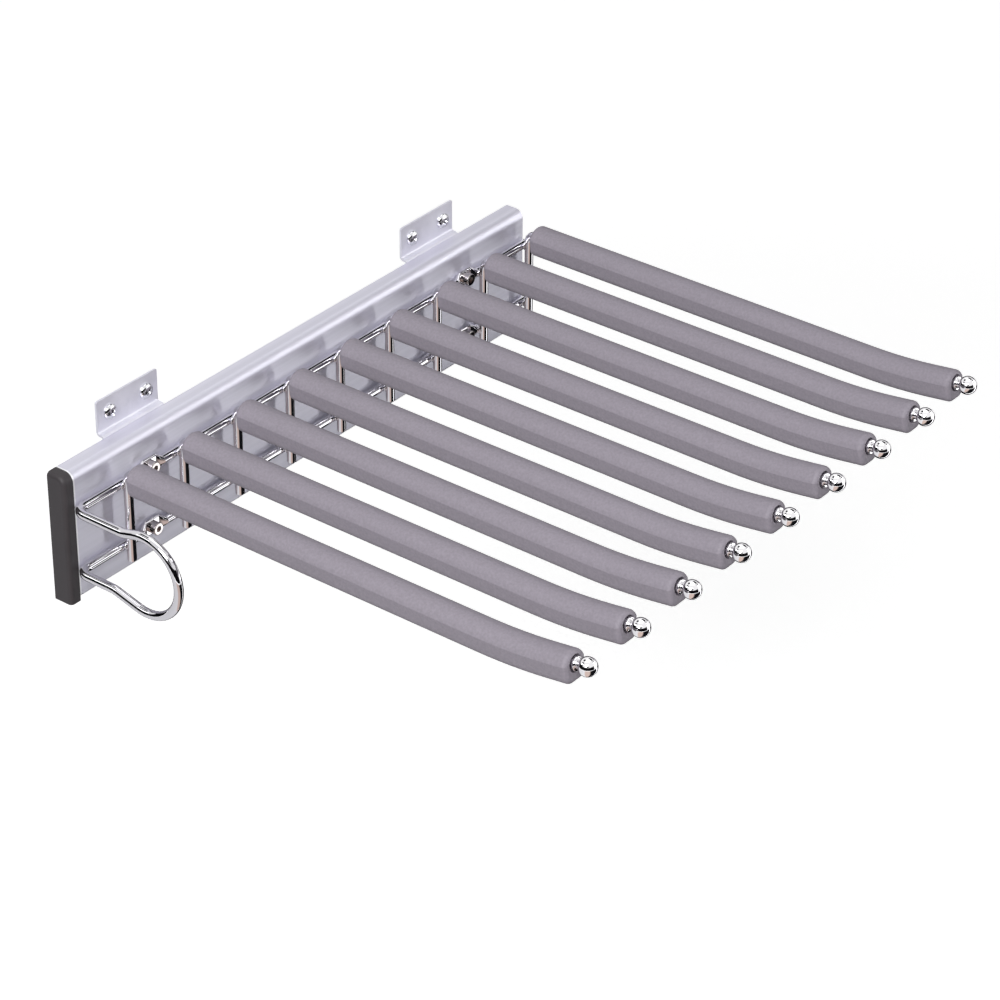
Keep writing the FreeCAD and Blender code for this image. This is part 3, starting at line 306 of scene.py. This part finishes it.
cap = Finish("dark_plastic")
pits = cap.noise(2600.0, 2.0)
cloud = cap.noise(45.0, 3.0)
dress(cap.surface(Base_Color=cap.blend(cloud, (0.034, 0.030, 0.033, 1), (0.052, 0.046, 0.050, 1)),
                  Roughness=0.42 + 0.14 * cloud, Normal=cap.bump(pits, 0.35, 0.00015),
                  Specular_IOR_Level=0.3),
      "front_end_cap")

# Frame wire, rods, ball tips and cap screws: bright chrome plate on drawn steel wire and turned
# steel. All are one plating. The tips' copy has a lighter base as a painted highlight, and the
# screws' copy has a darker, browner base as a painted dark reflection.

arms = range(1, 10)
chrome_finishes = []
for name, base in (("chrome", (0.68, 0.67, 0.70, 1)), ("chrome_tips_painted_bright", (0.88, 0.87, 0.89, 1)),
                   ("chrome_fasteners", (0.42, 0.39, 0.385, 1))):
    chrome = Finish(name)
    haze = chrome.noise(160.0, 3.0)
    ripple = chrome.noise(70.0, 1.0)
    chrome_finishes.append(chrome.surface(Base_Color=base, Metallic=1.0,
                                          Roughness=0.02 + 0.05 * haze,
                                          Normal=chrome.bump(ripple, 0.02, 0.0004)))
chrome_plate, chrome_tips_painted_bright, chrome_screws_painted_dark = chrome_finishes
dress(chrome_plate, "frame_wire", *[f"arm_rod_{arm}" for arm in arms])
dress(chrome_tips_painted_bright, *[f"ball_tip_{arm}" for arm in arms])
dress(chrome_screws_painted_dark, "frame_screws")

# Weld beads: where each rod's leg crosses the frame wire's two runs, the resistance weld squeezed
# out a thin uneven collar of metal, plated over with the rest.

WELD_X, FIRST_ARM_Y, ARM_PITCH = 0.02685, -0.032, 0.050
RUN_LEVELS = {"upper": -0.0355, "lower": -0.0795}
BEAD_R, BEAD_SECTION_R, BEAD_UNEVENNESS = 0.0023, 0.00062, 0.00022
bpy.ops.object.select_all(action="DESELECT")
bpy.ops.mesh.primitive_torus_add(major_segments=24, minor_segments=8, major_radius=BEAD_R,
                                 minor_radius=BEAD_SECTION_R, rotation=(0, math.radians(90), 0))
bead = bpy.context.object
bpy.ops.object.transform_apply(rotation=True)
bpy.ops.object.mode_set(mode="EDIT")
bpy.ops.transform.vertex_random(offset=BEAD_UNEVENNESS, seed=5)
bpy.ops.transform.resize(value=(1.0, 1.12, 0.94))
bpy.ops.object.mode_set(mode="OBJECT")
bpy.ops.object.shade_smooth()
bead.data.materials.append(chrome_plate)
crossings = [(arm, run) for arm in arms for run in RUN_LEVELS]
beads = [bead]
while len(beads) < len(crossings):
    bpy.ops.object.duplicate()
    beads.append(bpy.context.object)
for made, (arm, run) in zip(beads, crossings):
    level = RUN_LEVELS[run]
    made.name = f"weld_{arm}_{run}"
    made.data.transform(Matrix.Translation((WELD_X, FIRST_ARM_Y + (arm - 1) * ARM_PITCH, level))
                        @ Matrix.Rotation(1.7 * arm + 30 * level, 4, "X"))
    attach(made, "carriage")

# Sleeves: extruded grey plastic with a fine pebbled, non-slip skin, pushed over the rods.

sleeve = Finish("grey_sleeve")
pebble = sleeve.noise(1400.0, 2.0)
fleck = sleeve.noise(620.0, 4.0)
dress(sleeve.surface(
    Base_Color=sleeve.blend(fleck, (0.210, 0.190, 0.222, 1), (0.322, 0.292, 0.340, 1)),
    Roughness=0.62, Normal=sleeve.bump(pebble, 0.5, 0.0003)),
      *[f"arm_sleeve_{arm}" for arm in arms])

# Wall brackets: folded sheet steel, light zinc plated, screwed to the wall and riveted to the
# slide.

zinc = Finish("zinc_plate")
cloud = zinc.noise(120.0, 4.0)
dress(zinc.surface(Base_Color=zinc.blend(cloud, (0.71, 0.705, 0.785, 1), (0.83, 0.82, 0.895, 1)),
                   Metallic=0.5, Roughness=0.36 + 0.12 * cloud),
      "front_bracket", "rear_bracket")

# Slide: three roll-formed members, zinc plated, with their ball cages, and polished balls with a
# film of oil.

rolled = Finish("slide_steel")
streak = rolled.noise(1.0, 3.0, (500.0, 5.0, 500.0))
dress(rolled.surface(Base_Color=rolled.blend(streak, (0.50, 0.51, 0.54, 1), (0.62, 0.63, 0.67, 1)),
                     Metallic=0.65, Roughness=0.30 + 0.14 * streak),
      "slide_outer_member", "slide_middle_member", "slide_inner_member",
      "outer_cage_upper", "outer_cage_lower", "inner_cage_upper", "inner_cage_lower")

ball = Finish("bearing_steel")
oil = ball.noise(900.0, 2.0)
dress(ball.surface(Base_Color=(0.62, 0.62, 0.64, 1), Metallic=1.0, Roughness=0.06 + 0.08 * oil),
      "outer_balls", "inner_balls")

# Rear bumper: a black rubber pad on the outer member's stop tab, with some dust on it.

rubber = Finish("rubber")
dust = rubber.noise(700.0, 3.0)
dress(rubber.surface(Base_Color=(0.02, 0.02, 0.021, 1), Roughness=0.7 + 0.2 * dust),
      "rear_bumper")

# Rivets and slide screws: bright zinc plate, a little cloudy, as on the wall screws below.

plated = Finish("zinc_fasteners")
cloud = plated.noise(500.0, 2.0)
bright_zinc = plated.surface(Base_Color=(0.74, 0.74, 0.77, 1), Metallic=1.0,
                             Roughness=0.08 + 0.10 * cloud)
dress(bright_zinc, "bracket_rivets", "slide_screws")


# Wall screws: cold-headed pan-head screws with a cross recess and a rolled thread, driven
# through the brackets into the wall. Head and shank are drawn out of one disc, the recess is
# cut by two crossed wedges, and the thread is a swept ridge.

def faces_facing(piece, direction, least=0.9):
    """Selects the faces of the edited piece that look along a direction."""
    bpy.ops.mesh.select_all(action="DESELECT")
    shape = bmesh.from_edit_mesh(piece.data)
    for face in shape.faces:
        face.select_set(face.normal.dot(Vector(direction)) > least)
    bmesh.update_edit_mesh(piece.data)


def draw_out(steps):
    """Extrudes the selected end face along Z in steps of (rise, new size over old size)."""
    for rise, share in steps:
        bpy.ops.mesh.extrude_region_move(TRANSFORM_OT_translate={"value": (0, 0, rise)})
        bpy.ops.transform.resize(value=(share, share, 1))


def apply_modifier(piece, kind, **settings):
    """Adds one modifier to a piece and applies it."""
    bpy.context.view_layer.objects.active = piece
    bpy.ops.object.modifier_add(type=kind)
    made = piece.modifiers[-1]
    for name, value in settings.items():
        setattr(made, name, value)
    bpy.ops.object.modifier_apply(modifier=made.name)


HEAD_R, NECK_R, ROOT_R = 0.0053, 0.0022, 0.0015
DISC, NECK_LENGTH, SHANK_LENGTH, POINT_LENGTH = 0.001, 0.0021, 0.0049, 0.003
bpy.ops.object.select_all(action="DESELECT")
bpy.ops.mesh.primitive_cylinder_add(vertices=40, radius=HEAD_R, depth=DISC,
                                    location=(0, 0, DISC / 2))
screw = bpy.context.object
screw.name = "wall_screw_1"
bpy.ops.object.transform_apply(location=True)
bpy.ops.object.mode_set(mode="EDIT")
faces_facing(screw, (0, 0, 1))
draw_out([(0.0005, 0.95), (0.0006, 0.88), (0.0005, 0.76), (0.0003, 0.6)])
faces_facing(screw, (0, 0, -1))
draw_out([(0, NECK_R / HEAD_R), (-NECK_LENGTH, 1), (0, ROOT_R / NECK_R), (-SHANK_LENGTH, 1),
          (-POINT_LENGTH, 0.1)])
bpy.ops.object.mode_set(mode="OBJECT")

WEDGE_SIZE, WEDGE_Z, WEDGE_TAPER = (0.0062, 0.0013, 0.0036), 0.0027, 0.45
for quarter in (0, 90):
    bpy.ops.mesh.primitive_cube_add(size=1, location=(0, 0, WEDGE_Z),
                                    rotation=(0, 0, math.radians(quarter)))
    wedge = bpy.context.object
    wedge.scale = WEDGE_SIZE
    bpy.ops.object.transform_apply(location=True, rotation=True, scale=True)
    bpy.ops.object.mode_set(mode="EDIT")
    faces_facing(wedge, (0, 0, -1))
    bpy.ops.transform.resize(value=(WEDGE_TAPER, WEDGE_TAPER, 1))
    bpy.ops.object.mode_set(mode="OBJECT")
    bpy.ops.object.select_all(action="DESELECT")
    apply_modifier(screw, "BOOLEAN", object=wedge, operation="DIFFERENCE", solver="EXACT")
    bpy.data.objects.remove(wedge)

RIDGE_R, RIDGE_START = 0.00055, (0.00165, 0, -0.0072)
THREAD_PITCH, THREAD_TURNS = 0.0013, 4
bpy.ops.mesh.primitive_circle_add(vertices=3, radius=RIDGE_R, fill_type="NGON",
                                  location=RIDGE_START, rotation=(math.radians(90), 0, 0))
ridge = bpy.context.object
bpy.ops.object.transform_apply(location=True, rotation=True)
bpy.ops.object.mode_set(mode="EDIT")
bpy.ops.mesh.select_all(action="SELECT")
bpy.ops.transform.rotate(value=math.radians(-90), orient_axis="Y", center_override=RIDGE_START)
bpy.ops.object.mode_set(mode="OBJECT")
apply_modifier(ridge, "SCREW", axis="Z", screw_offset=THREAD_PITCH, iterations=THREAD_TURNS,
               steps=20, render_steps=20, use_merge_vertices=False)
bpy.ops.object.mode_set(mode="EDIT")
bpy.ops.mesh.select_all(action="SELECT")
bpy.ops.mesh.fill_holes(sides=3)
bpy.ops.mesh.select_all(action="SELECT")
bpy.ops.mesh.normals_make_consistent(inside=False)
bpy.ops.object.mode_set(mode="OBJECT")

bpy.ops.object.select_all(action="DESELECT")
ridge.select_set(True)
screw.select_set(True)
bpy.context.view_layer.objects.active = screw
bpy.ops.object.join()
bpy.ops.object.shade_smooth_by_angle(angle=math.radians(35))
screw.data.materials.clear()
screw.data.materials.append(bright_zinc)

# Each screw's place along the wall and how far its recess ended up turned, in degrees.
FRONT_BRACKET_Y, REAR_BRACKET_Y, HALF_SPACING = 0.0, 0.292, 0.016
BRACKET_SHEET = 0.0015
places = [(FRONT_BRACKET_Y - HALF_SPACING, 18), (FRONT_BRACKET_Y + HALF_SPACING, 61),
          (REAR_BRACKET_Y - HALF_SPACING, 40), (REAR_BRACKET_Y + HALF_SPACING, 79)]
screws = [screw]
while len(screws) < len(places):
    bpy.ops.object.select_all(action="DESELECT")
    screw.select_set(True)
    bpy.context.view_layer.objects.active = screw
    bpy.ops.object.duplicate()
    screws.append(bpy.context.object)
    screws[-1].name = f"wall_screw_{len(screws)}"
for made, (across, turn) in zip(screws, places):
    made.data.transform(Matrix.Translation((BRACKET_SHEET, across, 0))
                        @ Matrix.Rotation(math.radians(90), 4, "Y")
                        @ Matrix.Rotation(math.radians(turn), 4, "Z"))
    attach(made, "wall_side")
    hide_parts("wall_screws")
